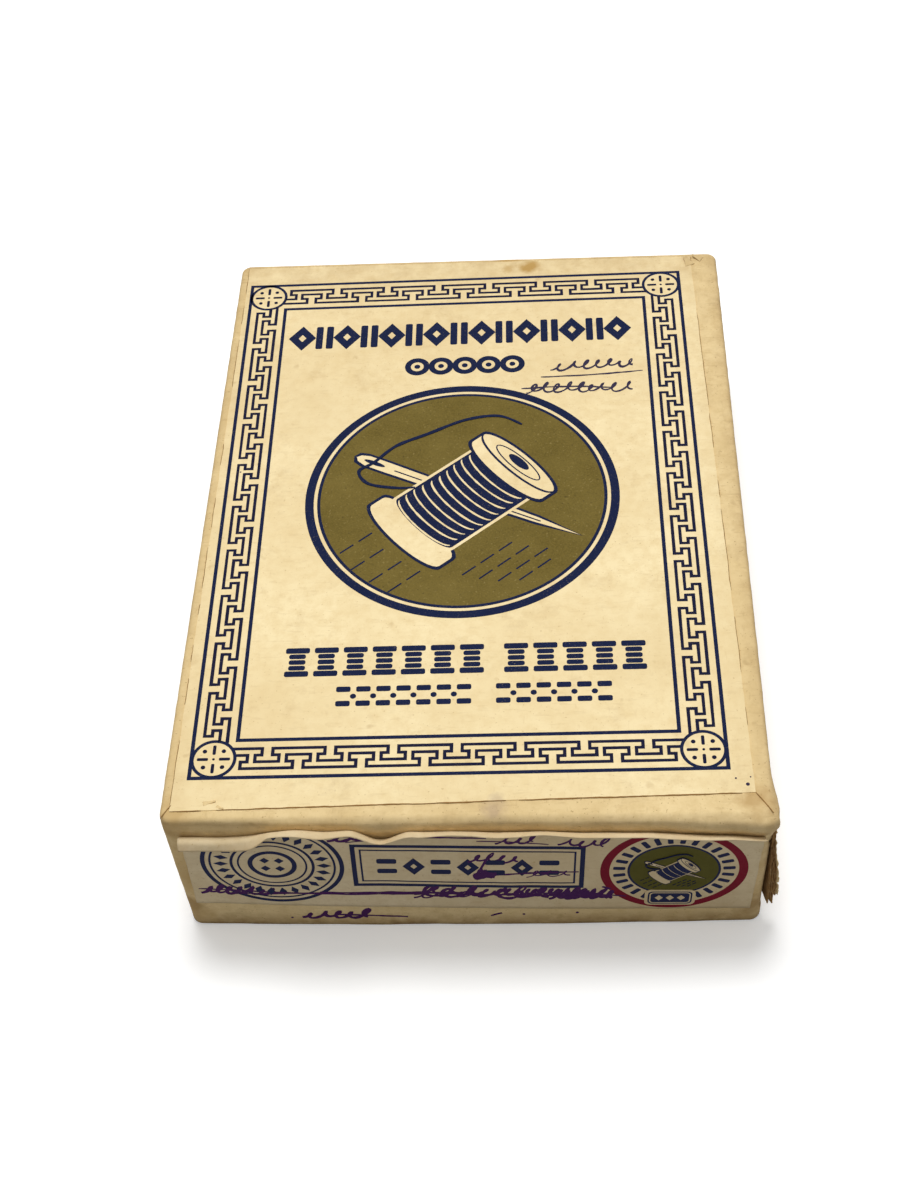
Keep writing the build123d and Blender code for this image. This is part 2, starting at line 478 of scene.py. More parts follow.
def paper(name, tone, stain, fleck, mottle, flecks, marks=(), soiling_and_shade=()):
    """Aged paper: mottled tone, fine fibres and flecks, foxing, and marks at given places.

    marks are (x, y, radius, colour, strength, plane); the bands of the last argument are (axis, at,
    width, strength) and darken the paper towards a coordinate, as soiling in some places and as
    painted shade in others.
    """
    s = Surface(name, 0.82, specular=0.12)
    color = s.tints(
        tone,
        # broad clouds, patches and smudges
        (stain, mottle, 0.35, 0.72, 26, 4, 0.6),
        (stain, mottle * 0.55, 0.5, 0.74, 5.5, 5, 0.65, EVEN, 3.1),
        (stain, mottle * 0.85, 0.42, 0.68, 1.9, 5, 0.72, EVEN, 7.3),
        (fleck, mottle * 0.34, 0.56, 0.74, 7.5, 5, 0.7, EVEN, 21.0),
        # fibres both ways, specks and foxing
        (fleck, 0.22 * flecks, 0.6, 0.74, 0.55, 2, 0.5, (5, 1, 1), 1.7),
        (fleck, 0.18 * flecks, 0.64, 0.76, 0.5, 2, 0.5, (1, 4, 2), 5.2),
        (fleck, 0.6 * flecks, 0.7, 0.76, 0.42, 1, 0.5, EVEN, 9.4),
        (fleck, 0.5 * mottle, 0.7, 0.8, 3.2, 2, 0.5, EVEN, 12.6),
    )
    # bands darker towards a coordinate: soiling in some, painted shade and painted fall-off of
    # light in others
    for letter, at, width, strength in soiling_and_shade:
        uneven = s.span(s.noise(4.0, 4, 0.65, shift=6.6), 0.3, 0.7, 0.25, 1.0)
        color = s.tint(color, fleck, strength, s.times(s.near(letter, at, width), uneven))
    for x, y, radius, tone, strength, plane in marks:
        color = s.tint(color, tone, strength, s.spot(x, y, radius, plane))
    s.color(color)
    s.roughness(s.span(s.noise(2.0, 3, 0.6), 0.3, 0.7, 0.72, 0.9))
    s.bump((s.noise(9.0, 3, 0.5, shift=2.2), 0.12), (s.noise(0.35, 2, 0.6), 0.012))
    return s.material


def ink(name, tone, worn, wear):
    """Printing ink, thin and speckled where the paper shows through."""
    s = Surface(name, 0.7, specular=0.08)
    shade = s.span(s.noise(3.0, 3, 0.6), 0.3, 0.7, 0.0, 0.4)
    color = s.mix(shade, tone, tuple(c * 1.5 + 0.002 for c in tone))
    speck = s.times(s.span(s.noise(0.22, 2, 0.6), 0.62, 0.74), wear)
    rub = s.span(s.noise(7.0, 4, 0.7, shift=4.4), 0.45, 0.7, 0.25, 1.0)
    s.color(s.tint(color, worn, rub, speck))
    s.bump((s.noise(0.3, 2, 0.6), 0.006))
    return s.material


def gold_ink(name):
    """Dull bronze printing ink with a coarse grain."""
    s = Surface(name, 0.6, specular=0.06)
    grain = s.span(s.noise(0.3, 2, 0.7), 0.35, 0.7)
    color = s.tints(
        s.mix(grain, srgb(96, 82, 34), srgb(116, 99, 45)),
        (srgb(128, 111, 56), 0.5, 0.35, 0.7, 8.0, 4, 0.65),
        (srgb(162, 143, 88), 0.4, 0.62, 0.72, 0.45, 2, 0.6, EVEN, 2.7),
        (srgb(60, 50, 26), 0.6, 0.64, 0.74, 0.5, 2, 0.6, EVEN, 7.7),
    )
    s.color(color)
    s.roughness(s.span(grain, 0.0, 1.0, 0.45, 0.65))
    s.bump((s.noise(0.28, 2, 0.6), 0.012))
    return s.material


def chipboard(name, tone, dark):
    """Grey-brown board pressed from waste paper, with coarse flecks and laid plies."""
    s = Surface(name, 0.9, specular=0.2)
    color = s.tints(
        s.mix(s.span(s.noise(6.0, 5, 0.7), 0.3, 0.7), tone, dark),
        (srgb(196, 170, 128), 0.5, 0.55, 0.7, 0.7, 3, 0.6, (4, 1, 1)),
        (srgb(84, 62, 40), 0.6, 0.66, 0.74, 0.6, 2, 0.5, EVEN, 3.3),
    )
    s.color(color)
    s.bump((s.noise(1.2, 4, 0.7), 0.07), (s.noise(0.3, 2, 0.6), 0.03))
    return s.material


def turned_wood(name):
    """Pale turned wood: grain along the spool's axis, darker pores and fine tool rings."""
    s = Surface(name, 0.46, specular=0.4)
    grain = s.noise(2.2, 5, 0.65, (1, 9, 1))
    color = s.tints(
        s.mix(s.span(grain, 0.3, 0.7), srgb(214, 176, 122), srgb(184, 140, 88)),
        (srgb(168, 122, 76), 0.45, 0.35, 0.65, 34.0, 2, 0.5, EVEN, 8.8),
        (srgb(122, 84, 50), 0.55, 0.64, 0.74, 0.45, 2, 0.5, (1, 10, 1), 5.1),
    )
    s.color(color)
    s.roughness(s.span(grain, 0.3, 0.7, 0.38, 0.58))
    rings = s.noise(0.35, 1, 0.4, (60, 1, 60))
    s.bump((rings, 0.03), (s.noise(0.5, 3, 0.6, (1, 6, 1)), 0.02))
    return s.material


def cotton(name):
    """Mercerised cotton: a lustrous twisted strand, slightly uneven in shade."""
    s = Surface(name, 0.48, specular=0.45)
    s.shader.inputs["Sheen Weight"].default_value = 0.25
    s.shader.inputs["Sheen Roughness"].default_value = 0.4
    twist = s.noise(0.3, 2, 0.5, (2.5, 1, 2.5))
    color = s.mix(s.span(twist, 0.3, 0.7), srgb(230, 212, 174), srgb(212, 192, 152))
    turn = s.span(s.noise(0.55, 3, 0.6, (40, 1, 40)), 0.35, 0.65)
    color = s.tint(color, srgb(180, 156, 116), 0.6, turn)
    s.color(s.tints(color, (srgb(186, 160, 118), 0.3, 0.35, 0.7, 3.0, 3, 0.6, (8, 1, 8))))
    s.roughness(s.span(twist, 0.3, 0.7, 0.4, 0.6))
    s.bump((turn, 0.06), (twist, 0.03))
    return s.material


CREAM = srgb(249, 230, 183)
TAN = srgb(176, 142, 92)
BROWN = srgb(146, 112, 66)
VIOLET = srgb(96, 62, 96)
BARE = srgb(178, 162, 128)  # paper showing through worn blue ink

label_paper = paper(
    "label_paper", CREAM, srgb(231, 206, 154), TAN, mottle=0.75, flecks=0.6,
    marks=(
        (10.4, 61.4, 2.6, srgb(178, 136, 62), 0.8, "XY"),
        (6.2, 60.9, 1.5, srgb(186, 146, 76), 0.45, "XY"),
        (5.0, -61.3, 1.7, VIOLET, 0.22, "XY"),
        (-27.0, 22.0, 10.0, srgb(228, 205, 156), 0.3, "XY"),
        (28.0, -31.0, 13.0, srgb(230, 207, 158), 0.3, "XY"),
        (-24.0, -50.0, 9.0, srgb(230, 206, 156), 0.25, "XY"),
    ),
    soiling_and_shade=(
        # the darkening towards the back is painted fall-off of the light
        ("Y", lid_high.y, 12.0, 0.4), ("Y", lid_high.y, 90.0, 0.22),
        ("X", lid_low.x, 5.0, 0.25), ("X", 43.5, 5.0, 0.12),
    ),
)
end_paper = paper(
    "end_label_paper", srgb(229, 211, 175), srgb(210, 188, 146), TAN, mottle=0.75, flecks=0.8,
    # darker where the curled top stands furthest out from the wall, and towards the foot
    soiling_and_shade=(("Y", LID_FRONT - 3.6, 2.8, 0.75), ("Z", lid_low.z + 4.0, 3.0, 0.35)),
)
wrap_paper = paper(
    "wrap_paper", srgb(240, 215, 163), srgb(216, 188, 134), BROWN, mottle=0.75, flecks=0.8,
    marks=(
        (-30.0, 14.0, 8.0, srgb(186, 152, 96), 0.5, "YZ"),
        (38.0, 18.0, 10.0, srgb(196, 164, 110), 0.5, "YZ"),
        (-12.0, 12.0, 8.0, srgb(190, 156, 100), 0.45, "XZ"),
        (20.0, 22.0, 6.0, srgb(186, 150, 94), 0.5, "XZ"),
        (-43.0, 16.0, 5.0, srgb(178, 148, 96), 0.5, "XZ"),
        (-45.5, 6.0, 3.6, srgb(132, 96, 52), 0.6, "XZ"),
        (44.5, 5.0, 3.4, srgb(140, 102, 56), 0.55, "XZ"),
        (-44.0, -62.5, 3.6, srgb(186, 150, 92), 0.55, "XY"),
        (43.6, -61.6, 3.4, srgb(176, 138, 82), 0.6, "XY"),
        (6.4, 62.9, 3.4, srgb(178, 138, 70), 0.55, "XY"),
        (4.6, -62.6, 2.4, VIOLET, 0.3, "XY"),
    ),
    soiling_and_shade=(
        # the band about 3 mm under the top is painted shade under the loose fold; the band at the
        # foot is soiling along the edge and painted shade by the floor
        ("Z", LID_TOP - 1.1, 1.2, 0.5), ("Z", LID_TOP - 3.2, 1.8, 0.55), ("Z", lid_low.z, 3.8, 1.0),
        ("X", LID_RIGHT, 2.6, 0.35), ("X", lid_low.x, 2.0, 0.25),
        # the wide band towards the back is painted fall-off of the light
        ("Y", lid_high.y, 2.6, 0.4), ("Y", lid_high.y, 100.0, 0.25),
    ),
)
tray_paper = paper("tray_paper", srgb(222, 198, 152), srgb(198, 168, 116), BROWN, 0.7, 0.7)
stay_paper = paper("gummed_paper", srgb(190, 158, 112), srgb(168, 134, 90), BROWN, 0.6, 0.6)
spool_paper = paper("spool_label_paper", srgb(240, 222, 182), srgb(220, 196, 152), TAN, 0.5, 0.4)
board = chipboard("chipboard", srgb(170, 140, 98), srgb(146, 116, 78))
ply = chipboard("torn_ply", srgb(168, 130, 80), srgb(112, 78, 40))
wood = turned_wood("turned_wood")
thread = cotton("cotton_thread")
navy = ink("navy_ink", srgb(16, 26, 58), BARE, 0.45)
navy_fine = ink("navy_fine_ink", srgb(18, 20, 46), BARE, 0.25)
navy_end = ink("navy_end_ink", srgb(22, 28, 60), BARE, 0.25)
crimson = ink("crimson_ink", srgb(112, 16, 36), srgb(170, 110, 90), 0.3)
olive = ink("olive_ink", srgb(80, 76, 28), srgb(112, 106, 58), 0.4)
pen_violet = ink("violet_pen", srgb(62, 24, 74), srgb(150, 122, 132), 0.4)
pen_grey = ink("grey_pen", srgb(50, 44, 66), srgb(170, 156, 130), 0.5)
# ink of the seam lines: soiling along the label's edges and folds, with painted shadow of the
# label's edge and painted crease shade
soil_and_shadow_ink = ink("seam_soil_and_shadow", srgb(140, 106, 60), srgb(204, 174, 120), 0.7)
gold = gold_ink("gold_ink")


def refinish(node, material):
    """Give a CAD piece its material."""
    mesh = frame["nodes"][node].data
    mesh.materials.clear()
    mesh.materials.append(material)


finishes = {"chipboard": board, "gummed_paper": stay_paper, "spool_wood": wood}
for part in frame["record"]["subparts"]:
    if part["material_slot"] in finishes:
        refinish(part["node"], finishes[part["material_slot"]])


# ---------------------------------------------------------------- wrapped boxes

LAP = 13.0  # of the covers over the lid's panel and under the tray's floor
TURN_IN = 9.0  # of the covers round the walls' free edges
LID_FOLD, LID_CORNER = 0.85, 1.8  # radii of the lid cover's folds
TRAY_FOLD, TRAY_CORNER = 0.45, 1.35
LID_WALL, TRAY_WALL = 1.3, 1.2  # through cover, board and turned-in cover
LID_WALL_ROWS, TRAY_WALL_ROWS = 44, 16
FRONT_STEPS, SIDE_STEPS, CORNER_STEPS = 66, 92, 7  # round a cover


def rim_points(width, length, inset, corner_radius):
    """Points and outward normals round a rounded rectangle, from the front left corner."""
    radius = max(corner_radius - inset, 0.04)
    w, h = width / 2 - inset - radius, length / 2 - inset - radius
    points = []
    corners = ((-w, -h), (w, -h), (w, h), (-w, h))
    for index, start in enumerate(corners):
        end, facing = corners[(index + 1) % 4], 90 * (index - 1)
        steps = SIDE_STEPS if index % 2 else FRONT_STEPS
        nx, ny = cos(radians(facing)), sin(radians(facing))
        for i in range(steps):
            t = i / steps
            if index % 2:  # the long sides are cut finer near the corners
                t -= 0.8 * sin(2 * pi * t) / (2 * pi)
            x = start[0] + (end[0] - start[0]) * t + nx * radius
            y = start[1] + (end[1] - start[1]) * t + ny * radius
            points.append((x, y, nx, ny))
        for i in range(CORNER_STEPS):
            a = radians(facing + 90 * i / CORNER_STEPS)
            points.append((end[0] + cos(a) * radius, end[1] + sin(a) * radius, cos(a), sin(a)))
    return points


def wrap_shell(name, material, body, size, corner_radius, profile, shape, torn=None):
    """Cover paper round a box: profile is (inset, height) from one free edge to the other."""
    points = []
    for inset, height in profile:
        rim = rim_points(*size, inset, corner_radius)
        points.extend(shape(x, y, height, nx, ny, inset) for x, y, nx, ny in rim)

    def missing(face):
        return torn and torn(sum((Vector(points[k]) for k in face), Vector()) / 4)

    faces = facing_back(grid_faces(len(profile), len(rim), columns_closed=True))
    faces = [face for face in faces if not missing(face)]
    piece = make_mesh(name, points, faces, material, body, smooth=True)
    add_solidify(piece, WRAP)
    return piece


def fold(radius, height, side, steps=5):
    """Profile points of a rounded fold out to the wall, up to a height or down to it."""
    turns = [pi / 2 * i / steps for i in range(steps + 1)]
    return [(radius - radius * sin(a), height - side * radius * (1 - cos(a))) for a in turns]


def lid_shape(x, y, z, nx, ny, inset):
    """How the old lid's cover has cockled, bowed and sagged away from its board."""
    if inset > LID_FOLD + 0.01 and z > LID_TOP - 0.1:
        crease = smoothstep(abs(abs(x) - LID_WIDTH / 2 - abs(y) + LID_LENGTH / 2), 0.7, 0.0)
        return (x, y, z + 0.07 * crease * (inset < 8) + 0.02 * wave(x, y, 0, 6))
    if inset >= LID_WALL - 0.01:
        return (x, y, z)
    wall = smoothstep(LID_TOP - z, 0.2, 3.0)
    out = 0.12 + 0.16 * wave(x, y, z, 14) + 0.05 * wave(x, y, z, 4, 2.0)
    span, along = (LID_LENGTH, y) if abs(nx) > 0.5 else (LID_WIDTH, x)
    bow = max(0.0, 1 - (2 * along / span) ** 2)
    out += 0.35 * bow * smoothstep(z, LID_TOP, LID_TOP * 0.45)
    out = max(out, 0.0) * wall
    out += 0.07 * wave(x, y, z, 2.2, 11.0) * smoothstep(z, 24.0, 29.0)
    if ny < -0.5:
        # the cover hangs loose under the front fold and throws a shadow on the wall
        lip = smoothstep(x, -44, -10) * (0.55 + 0.35 * smoothstep(x, 10, 40))
        lip *= 0.8 + 0.4 * wave(x, 0, 0, 11, 3.0)
        out += lip * smoothstep(z, 25.5, 29.0) * smoothstep(z, LID_TOP, LID_TOP - 1.2)
    # the split corner's top has spread
    spread = smoothstep(x, LID_RIGHT - 7, LID_RIGHT) * smoothstep(y, LID_FRONT + 9, LID_FRONT)
    out += 0.75 * spread * smoothstep(z, 22.0, 29.5) * smoothstep(z, LID_TOP + 0.01, LID_TOP - 0.8)
    sag = 0.0
    if z < lid_low.z + 1.5:
        sag = 0.13 + 0.16 * wave(x, y, 0, 9, 5.0)
    return (x + nx * out, y + ny * out, max(z - max(sag, 0.0), 0.05))


def lid_torn(p):
    """Whether the cover is missing: a ragged patch down the split front right corner."""
    low, high = 2.2, 27.6
    if p.x < LID_RIGHT - 0.35 or p.z < low or p.z > high:
        return False
    reach = 2.6 + 1.6 * wave(0, 0, p.z, 2.3, 1.0) + 1.2 * sin((p.z - low) / (high - low) * pi)
    return LID_FRONT + 0.25 < p.y < LID_FRONT + reach


def lid_cover():
    """From the lap on the panel over the fold, down the walls and in."""
    profile = [(inset, LID_TOP) for inset in (LAP, 9.0, 5.4, 3.2, 1.8)]
    profile += fold(LID_FOLD, LID_TOP, 1)
    drop = LID_TOP - LID_FOLD - lid_low.z
    for i in range(1, LID_WALL_ROWS + 1):
        profile.append((0.0, LID_TOP - LID_FOLD - drop * i / LID_WALL_ROWS))
    profile += [(LID_WALL, lid_low.z + rise) for rise in (0.0, 3.0, TURN_IN)]
    size = (LID_WIDTH, LID_LENGTH)
    lid_wrap = wrap_shell(
        "lid_cover_paper", wrap_paper, "lid", size, LID_CORNER, profile, lid_shape, lid_torn
    )
    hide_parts("lid_wrap")


def tray_cover():
    """From the edge turned in at the top, down the walls and under the floor."""
    low, high = box_mm("tray_wrap")
    top = high.z

    def shape(x, y, z, nx, ny, inset):
        """The tray's cover lies close, with a slight cockle."""
        if inset > 0.01:
            return (x, y, z)
        edge = smoothstep(z, top, top - 2) * smoothstep(z, TRAY_FOLD, 3)
        out = edge * max(0.05 + 0.1 * wave(x, y, z, 10, 7.0), 0.0)
        return (x + nx * out, y + ny * out, z)

    profile = [(TRAY_WALL, top - drop) for drop in (TURN_IN, 3.0, 0.0)]
    for i in range(TRAY_WALL_ROWS + 1):
        profile.append((0.0, top - (top - TRAY_FOLD) * i / TRAY_WALL_ROWS))
    profile += fold(TRAY_FOLD, 0.0, -1)[::-1][1:]
    profile += [(inset, 0.0) for inset in (5.0, 9.0, LAP + WRAP)]
    size = (high.x - low.x, high.y - low.y)
    tray_wrap = wrap_shell(
        "tray_cover_paper", tray_paper, "tray", size, TRAY_CORNER, profile, shape
    )
    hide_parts("tray_wrap")


lid_cover()
tray_cover()


# ---------------------------------------------------------------- top label

top_low, top_high = box_mm("lid_top_label")
LABEL_TOP = top_high.z
TOP_FRONT_LEFT = (top_low.x, top_low.y)
TOP_FRONT_RIGHT = (top_high.x, top_low.y + 2.4)  # pasted a little crooked
TOP_BACK_RIGHT = (top_high.x - 2.3, top_high.y)
TOP_BACK_LEFT = (top_low.x, top_high.y)


def on_lid(x, y, h):
    """A place h above the top label."""
    return (x, y, LABEL_TOP + h)


def label_edge(x, y):
    """How far a pasted label's worn edge wanders."""
    return 0.09 * wave(x, y, 0, 3.0, 4.0) + 0.05 * wave(x, y, 0, 0.9, 8.0)


def top_label():
    """The sheet: a grid between the four cut edges, which wander a little."""
    across, along = 60, 84

    def place(i, j):
        front = between(TOP_FRONT_LEFT, TOP_FRONT_RIGHT, i / across)
        back = between(TOP_BACK_LEFT, TOP_BACK_RIGHT, i / across)
        x, y = between(front, back, j / along)
        if i in (0, across):
            x += label_edge(x, y)
        if j in (0, along):
            y += label_edge(x, y)
        return (x, y, LABEL_TOP)

    piece = lid_sheet("lid_top_label_paper", place, across, along, label_paper, PAPER)
    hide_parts("lid_top_label")


def dark_stretches(points, threshold, seed):
    """The longer stretches of a path where the broken dark seam line is drawn."""
    run = []
    for p in [*points, None]:
        if p and wave(*p, 0, 5.0, seed) > threshold:
            run.append(p)
        else:
            if len(run) > 2:
                yield run
            run = []


def seam_soil_and_shadow():
    """A broken dark line against the top label's cut edges: soiling gathered there, and painted
    shadow of the label's edge.
    """
    seams = Print()
    steps = 220
    corners = (TOP_BACK_LEFT, TOP_FRONT_LEFT, TOP_FRONT_RIGHT, TOP_BACK_RIGHT)
    for index, (start, end) in enumerate(zip(corners, corners[1:])):
        front = index == 1
        edge = []
        for i in range(steps + 1):
            x, y = between(start, end, i / steps)
            if front:
                edge.append((x, y + (label_edge(x, y) - 0.05)))
            else:
                edge.append((x + (label_edge(x, y) + (0.05 if index else -0.05)), y))
        for run in dark_stretches(edge, -0.5 if front else -0.05, 2.0 + index):
            seams.line(run, 0.15 if front else 0.1, uneven=0.8, seed=1.0, taper=0.7)
    # dark lines down the mitred folds of the cover, from the label's front corners to the lid's:
    # soiling in the creases and painted crease shade
    for start, end in (((-44.6, -61.6), (-46.0, -64.0)), (TOP_FRONT_RIGHT, (46.0, -64.0))):
        seams.line(stroke(start, end, 0.1, 2.0, 16), 0.13, uneven=0.8, taper=0.6)
    seams.lay("lid_label_seam_grime", on_lid, soil_and_shadow_ink, "lid", height=0.012, sink=0.1)


top_label()
seam_soil_and_shadow()


# ---------------------------------------------------------------- lid artwork

ART_CENTRE = (-1.85, 0.93)
ART_TURN = radians(0.6)
FRAME_WIDTH, FRAME_LENGTH = 82.4, 114.6  # middle of the outer frame line
BAND = 6.95  # outer frame line to inner frame line
FRAME_LINE = 0.62
FRET_LINE = 0.54
FRET_LEVELS = (-1.85, -0.62, 0.62, 1.85)  # across the band, outward to inward
FRET_START = 0.85  # of a period, from a corner to the first hook
CIRCLE_RADIUS = 3.34
CIRCLE_LINE = 0.52
MEDALLION = (0.2, 0.3)
DISC_RADIUS = 24.7


def on_art(x, y, h):
    """A place h above the top label, in the printed artwork's own square."""
    (x, y), = turned([(x, y)], ART_TURN, ART_CENTRE)
    return (x, y, LABEL_TOP + h)


def clipped(path, centre, radius):
    """A path from where it last leaves a circle."""
    last = max(i for i, p in enumerate(path) if distance(centre, p) < radius)
    a, b = path[last], path[last + 1]
    low, high = 0.0, 1.0
    for _ in range(24):
        middle = (low + high) / 2
        if distance(centre, between(a, b, middle)) < radius:
            low = middle
        else:
            high = middle
    return [between(a, b, high)] + path[last + 1:]


def fret_path(length, hooks, first, base, near, far):
    """One key line: T-shaped hooks from its base level in to the near and far levels."""
    period = length / (hooks - 1 + 2 * first)
    neck, bar = 0.085 * period, 0.19 * period
    path = [(0.0, base)]
    for k in range(hooks):
        c = (first + k) * period
        path += [(c - neck, base), (c - neck, near), (c - bar, near), (c - bar, far)]
        path += [(c + bar, far), (c + bar, near), (c + neck, near), (c + neck, base)]
    return path + [(length, base)]


def border():
    """Frame lines, the interlocking key pattern between them, and four corner circles."""
    lines, fine = Print(), Print()
    for inset in (0.0, 2 * BAND):
        frame_line = rectangle((0, 0), FRAME_WIDTH - inset, FRAME_LENGTH - inset)
        lines.line(frame_line, FRAME_LINE, closed=True)
    corners = rectangle((0, 0), FRAME_WIDTH - BAND, FRAME_LENGTH - BAND)
    outer0, outer1, inner1, inner0 = FRET_LEVELS
    for index, start in enumerate(corners):
        end = corners[(index + 1) % 4]
        length = distance(start, end)
        hooks = 10 if index % 2 else 7
        for path in (
            fret_path(length, hooks, FRET_START, inner0, inner1, outer1),
            fret_path(length, hooks + 1, FRET_START - 0.5, outer0, outer1, inner1),
        ):
            path = clipped(path, (0, 0), CIRCLE_RADIUS)
            path = clipped(path[::-1], (length, 0), CIRCLE_RADIUS)
            fine.line(turned(path, index * pi / 2, start), FRET_LINE, uneven=0.18, seed=index)
    for x, y in corners:
        lines.ring((x, y), CIRCLE_RADIUS - CIRCLE_LINE / 2, CIRCLE_RADIUS + CIRCLE_LINE / 2, 56)
        for quarter in range(4):
            a = quarter * pi / 2
            fine.polygon(turned(rounded_bar(1.75, 0.52, 0.2, (1.72, 0)), a, (x, y)))
            fine.disc((x + 2.1 * cos(a + pi / 4), y + 2.1 * sin(a + pi / 4)), 0.36, 14)
        fine.disc((x, y), 0.22, 14)
    lines.lay("lid_print_frames", on_art, navy, "lid")
    fine.lay("lid_print_key_pattern", on_art, navy_fine, "lid")


def medallion():
    """Navy ring, bare paper, a thin dark line and the bronze disc inside it."""
    ring, disc = Print(), Print()
    ring.ring(MEDALLION, DISC_RADIUS + 1.05, DISC_RADIUS + 2.55, 160)
    ring.ring(MEDALLION, DISC_RADIUS - 0.1, DISC_RADIUS + 0.45, 160)
    disc.disc(MEDALLION, DISC_RADIUS, 160)
    disc.lay("lid_print_bronze_disc", on_art, gold, "lid", height=0.012)
    ring.lay("lid_print_medallion_ring", on_art, navy, "lid")


# The sign drawn in the medallion and, small, in the end label's seal
SPOOL_SLANT, NEEDLE_SLANT = radians(40), radians(-27)
ROUNDNESS = 0.24  # of the drawn spool's ends
FLANGE, WOUND = 9.3, 7.5  # radii of the drawn spool's flanges and winding
FAR_FLANGE, NEAR_FLANGE, WINDING = (-12.6, -10.2), (10.2, 12.6), (-8.4, 8.6)
STITCH, STITCH_PITCH = 2.9, 4.0
STITCH_ROWS = (  # across and along the spool to the first stitch, and how many
    (-8.0, -22.6, 2), (-4.2, -23.6, 2), (0.0, -24.2, 2), (4.2, -23.4, 2),
    (-13.4, -11.0, 3), (-15.9, -9.4, 3), (-18.4, -7.4, 3), (-20.6, -4.6, 2),
)
NEEDLE_SIDE = [(-20.6, 0.75), (-19.0, 1.2), (-15.0, 1.2), (0.0, 0.95), (14.0, 0.6)]
STRAND_PATH = [  # from the winding through the eye and away over the top
    (-8.2, 2.2), (-11.5, 2.2), (-16.4, 3.4), (-18.2, 6.4), (-15.6, 8.5),
    (-11.8, 12.4), (-6.2, 15.2), (0.4, 18.4), (6.4, 19.2), (10.6, 16.9),
]


def drawn_cylinder(ends, half, swell=0.0):
    """Outline of a cylinder lying along u, seen a little from its right end."""
    half += swell
    bend = half * ROUNDNESS
    turns = [pi * (k / 16 - 0.5) for k in range(17)]
    right = [(ends[1] + swell * 0.6 + bend * cos(t), half * sin(t)) for t in turns]
    return right + [(ends[0] - swell * 0.6 - bend * cos(t), -half * sin(t)) for t in turns]


def drawn_end(u, radius, flat=ROUNDNESS, **arc):
    """A circle, or an arc of it, round the drawn spool's axis."""
    return ellipse((u, 0), radius * flat, radius, **arc)


def sewing_sign(name, centre, scale, place, dark, bare, base):
    """A spool of thread across a needle, its strand through the eye, and rows of stitches."""

    def set_out(points, slant=0.0, shift=(0.0, 0.0)):
        moved = [((x + shift[0]) * scale, (y + shift[1]) * scale) for x, y in points]
        return turned(moved, slant, centre)

    def spool(points):
        return set_out(points, SPOOL_SLANT, (-0.4, -0.6))

    def needle(points):
        return set_out(points, NEEDLE_SLANT, (0.0, 0.4))

    def fill(tone, outline):
        stack.on(tone).polygon(outline)

    def rule(tone, path, width, **settings):
        stack.on(tone).line(path, width * scale, **settings)

    stack = Stack()
    for v, u, count in STITCH_ROWS:
        for k in range(count):
            start = u + STITCH_PITCH * k
            rule(dark, spool([(start, v), (start + STITCH, v)]), 0.42, taper=0.3)
    # the needle, from its eye at the left to its point at the right
    other_side = [(x, -y) for x, y in reversed(NEEDLE_SIDE)]
    shape = [(-21.2, 0.0), *NEEDLE_SIDE, (22.4, 0.0), *other_side]
    edge = [(x * 1.025, y + (0.5 if y > 0 else -0.5 if y < 0 else 0)) for x, y in shape]
    fill(dark, needle(edge))
    fill(bare, needle(shape))
    fill(dark, needle(ellipse((-17.6, 0), 2.1, 0.45)))
    rule(dark, needle([(-13.5, -0.15), (4.0, -0.15), (15.0, -0.05)]), 0.26)
    # the spool: far flange, winding, near flange and its bore
    fill(dark, spool(drawn_cylinder(FAR_FLANGE, FLANGE, 0.6)))
    fill(bare, spool(drawn_cylinder(FAR_FLANGE, FLANGE)))
    fill(bare, spool(drawn_cylinder(WINDING, WOUND, 0.55)))
    fill(dark, spool(drawn_cylinder(WINDING, WOUND)))
    turns = 10 if scale > 0.5 else 4
    for k in range(turns):
        middle = (-8.2 + 17.8 / turns * k, 0.25 * sin(k))
        arc = ellipse(middle, 7.2 * ROUNDNESS, 7.0, steps=20, start=pi / 2 + 0.12, sweep=pi - 0.24)
        rule(bare, spool(arc), 0.34, uneven=0.5, seed=k, taper=0.6)
    fill(dark, spool(drawn_cylinder(NEAR_FLANGE, FLANGE, 0.6)))
    fill(bare, spool(drawn_cylinder(NEAR_FLANGE, FLANGE)))
    end = NEAR_FLANGE[1]
    rim = drawn_end(end, FLANGE, start=pi / 2, sweep=pi)
    rule(dark, spool(rim), 0.42, taper=0.5)
    fill(dark, spool(drawn_end(end + 0.3, 2.5, ROUNDNESS * 1.4)))
    rule(dark, spool(drawn_end(end + 0.1, 5.6, steps=30)), 0.24, closed=True)
    rule(dark, set_out(smooth_curve(STRAND_PATH, 8)), 0.6, uneven=0.3, taper=0.5)
    stack.lay(name, place, "lid", "label_paper", base)


def little_spool(shapes, x, y, width, height):
    """A spool as five bars: two flanges and three bands of thread."""
    flange, band = 0.19 * height, 0.16 * height
    shapes.bars((x, y), width, flange, flange * 0.3, (height - flange) / 2)
    for k in (-1, 0, 1):
        shapes.polygon(rounded_bar(width * 0.7, band, band * 0.4, (x, y + k * band * 1.24)))


